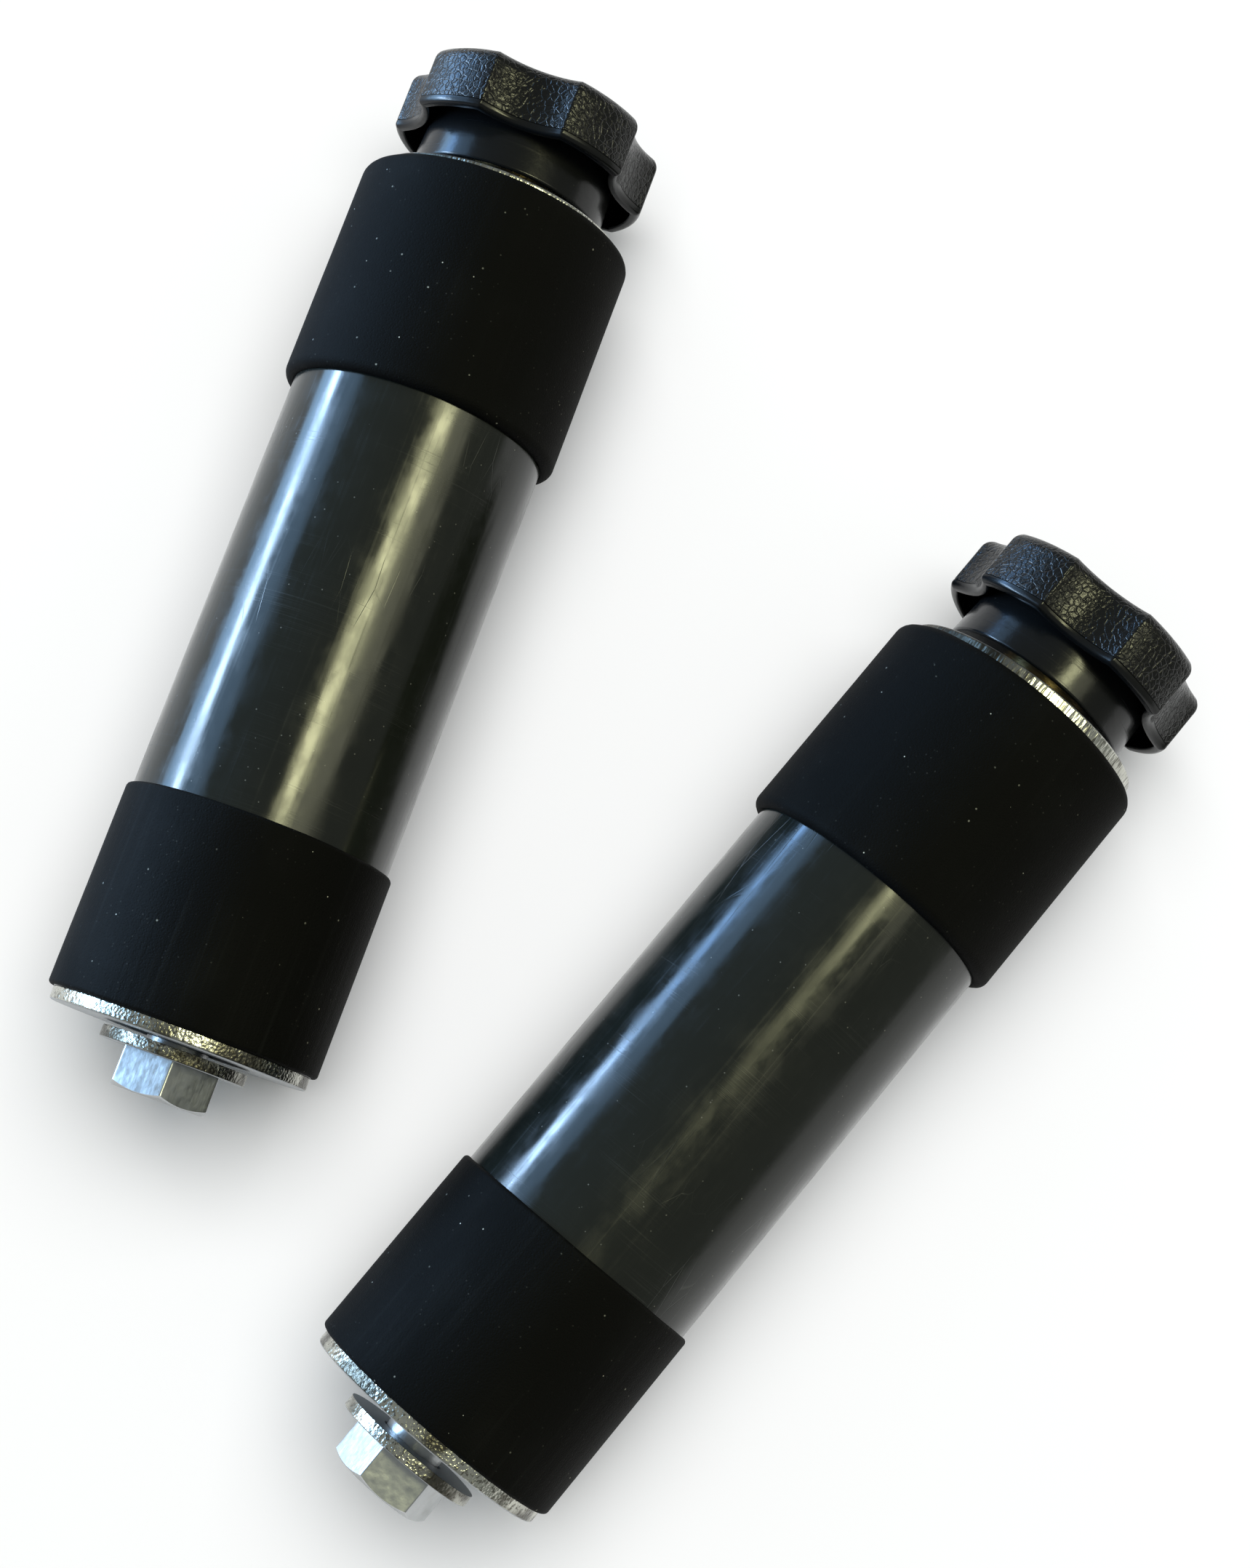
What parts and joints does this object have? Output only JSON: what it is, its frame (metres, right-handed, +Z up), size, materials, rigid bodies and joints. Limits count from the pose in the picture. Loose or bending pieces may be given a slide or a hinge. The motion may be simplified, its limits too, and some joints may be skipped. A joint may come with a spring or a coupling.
{
  "type": "focus training sticks",
  "caption": "Pair of short hand-held training sticks: capped pipe with rubber end sleeves, clamped by a through bolt and a five-lobed screw knob.",
  "frame": {"origin": "on the resting surface, under the middle of the pair's box", "axes": "+Z up from the surface the sticks lie on; +Y and +X lie in the surface, and both sticks' knobs point towards +Y and +X"},
  "size_m": [0.2128, 0.2742, 0.0548],
  "materials": {
    "pipe": "extruded dark grey pipe, satin with fine scratches",
    "sleeve_rubber": "matte black rubber sleeve",
    "washer_zinc": "bright zinc plate with a sheared rim",
    "bolt_zinc": "zinc plated hex bolt",
    "knob_plastic": "black moulded plastic, textured lobes and a smooth hub",
    "insert_brass": "turned brass"
  },
  "bodies": {
    "left_stick": {"left_tube": "pipe", "left_lower_sleeve": "sleeve_rubber", "left_upper_sleeve": "sleeve_rubber", "left_base_washer": "washer_zinc", "left_top_washer": "washer_zinc"},
    "left_bolt": {"left_through_bolt": "bolt_zinc", "left_small_washer": "washer_zinc"},
    "left_knob": {"left_knob": "knob_plastic", "left_knob_insert": "insert_brass"},
    "right_stick": {"right_tube": "pipe", "right_lower_sleeve": "sleeve_rubber", "right_upper_sleeve": "sleeve_rubber", "right_base_washer": "washer_zinc", "right_top_washer": "washer_zinc"},
    "right_bolt": {"right_through_bolt": "bolt_zinc", "right_small_washer": "washer_zinc"},
    "right_knob": {"right_knob": "knob_plastic", "right_knob_insert": "insert_brass"}
  },
  "joints": [
    {"name": "right_stick_lift", "type": "slide", "parent": "left_stick", "child": "right_stick", "axis": [0, 0, 1], "range_m": [0, 0.12]},
    {"name": "left_knob_turn", "type": "hinge", "parent": "left_stick", "child": "left_knob", "pos_m": [-0.02544, 0.10785, 0.02759], "axis": [-0.3371, -0.9414, -0.0089], "range_deg": [-2880, 174]},
    {"name": "left_bolt_draw", "type": "slide", "parent": "left_stick", "child": "left_bolt", "axis": [0.3371, 0.9414, 0.0089], "range_m": [-0.014, 0.00085]},
    {"name": "right_knob_turn", "type": "hinge", "parent": "right_stick", "child": "right_knob", "pos_m": [0.07269, 0.00947, 0.02759], "axis": [-0.6414, -0.7671, -0.0089], "range_deg": [-2160, 668]},
    {"name": "right_bolt_draw", "type": "slide", "parent": "right_stick", "child": "right_bolt", "axis": [0.6414, 0.7671, 0.0089], "range_m": [-0.0105, 0.00325]}
  ],
  "couplings": [
    {"joint": "left_knob_turn", "follows": "left_bolt_draw", "rad_per_m": 3590.4},
    {"joint": "right_knob_turn", "follows": "right_bolt_draw", "rad_per_m": 3590.4}
  ]
}
